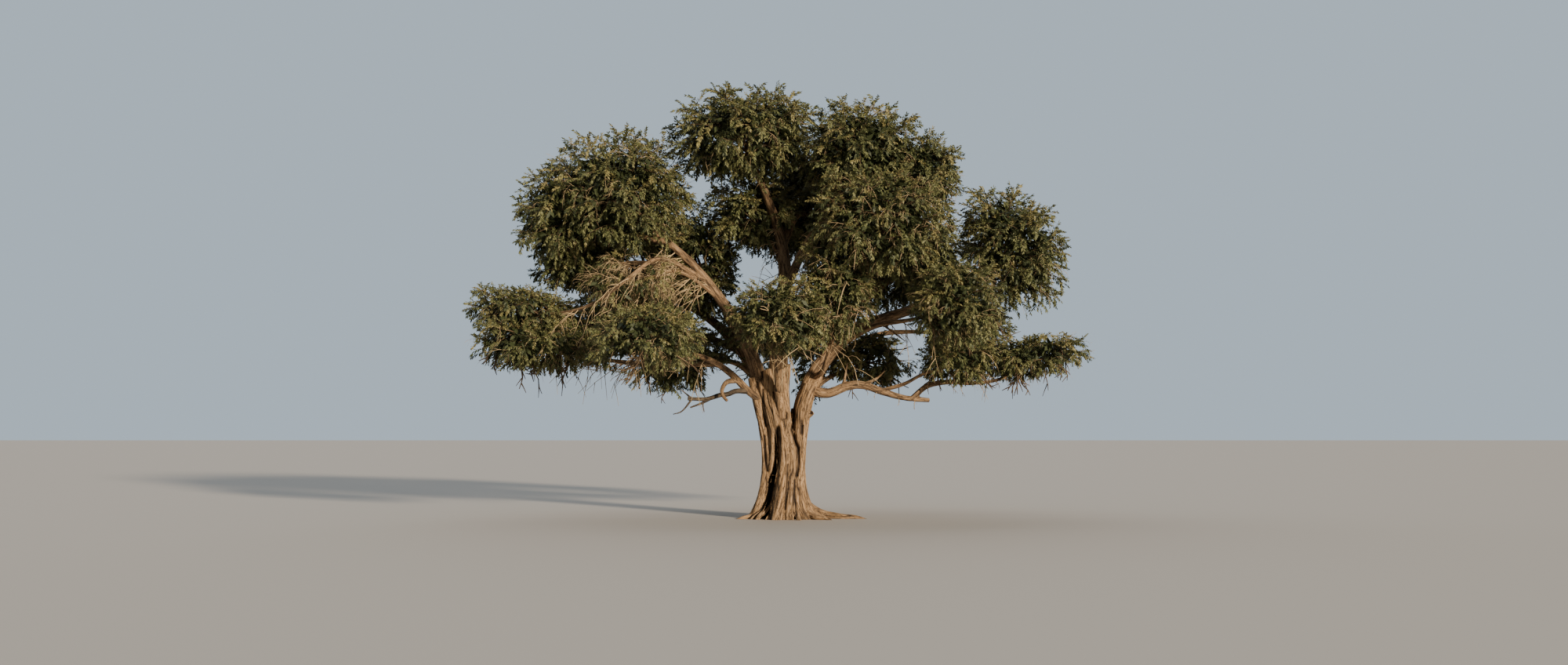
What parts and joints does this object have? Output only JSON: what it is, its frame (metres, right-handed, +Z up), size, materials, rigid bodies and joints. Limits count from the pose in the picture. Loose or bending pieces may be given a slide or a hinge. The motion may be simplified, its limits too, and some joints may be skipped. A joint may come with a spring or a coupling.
{
  "type": "ghaf tree",
  "caption": "Mature ghaf tree with a stout fluted trunk, spreading boughs and separate masses of fine foliage, rooted at a flat cut at ground level.",
  "frame": {"origin": "centre of the flat cut under the trunk, at ground level", "axes": "+Z up the trunk, +X to the right along the widest spread of the crown, +Y away from the front"},
  "size_m": [12.2785, 8.6734, 8.2906],
  "materials": {
    "bark": "deeply fissured dry bark, matt",
    "dead_wood": "bare weathered dead wood, matt",
    "foliage": "fine dusty olive leaves on thin twigs, matt",
    "thin_foliage": "sparse straw and olive hanging twigs with few leaves, matt"
  },
  "bodies": {
    "root": {"trunk": "bark", "bough_upper_left": "bark", "bough_top_centre": "bark", "bough_right_upper": "bark", "bough_front_low": "bark", "bough_back_left": "bark", "bough_back_right": "bark", "bough_left_low": "bark", "bough_left_low_outer": "bark", "bough_left_outer": "bark", "bough_left_tip": "bark", "bough_left_hanging": "bark", "bough_centre_left": "bark", "bough_low_centre_left": "bark", "bough_back_low_left": "bark", "bough_back_low": "bark", "bough_low_centre_right": "bark", "bough_back_low_right": "bark", "bough_back_top": "bark", "bough_top_right": "bark", "bough_centre_right": "bark", "bough_right_middle": "bark", "bough_right_low": "bark", "bough_right_low_outer": "bark", "bough_dead": "dead_wood", "bough_upper_left_outer": "bark", "bough_centre": "bark", "bough_centre_front": "bark", "bough_top_right_outer": "bark", "bough_right_low_middle": "bark", "foliage_upper_left": "foliage", "foliage_top_centre": "foliage", "foliage_right_upper": "foliage", "foliage_front_low": "foliage", "foliage_back_left": "foliage", "foliage_back_right": "foliage", "foliage_left_low": "foliage", "foliage_left_low_outer": "foliage", "foliage_left_outer": "foliage", "foliage_left_tip": "foliage", "foliage_left_hanging": "thin_foliage", "foliage_centre_left": "foliage", "foliage_low_centre_left": "foliage", "foliage_back_low_left": "foliage", "foliage_back_low": "foliage", "foliage_low_centre_right": "foliage", "foliage_back_low_right": "foliage", "foliage_back_top": "foliage", "foliage_top_right": "foliage", "foliage_centre_right": "foliage", "foliage_right_middle": "foliage", "foliage_right_low_outer": "foliage", "foliage_upper_left_outer": "foliage", "foliage_centre": "foliage", "foliage_centre_front": "foliage", "foliage_top_right_outer": "foliage", "foliage_right_low_middle": "foliage"}
  },
  "joints": []
}
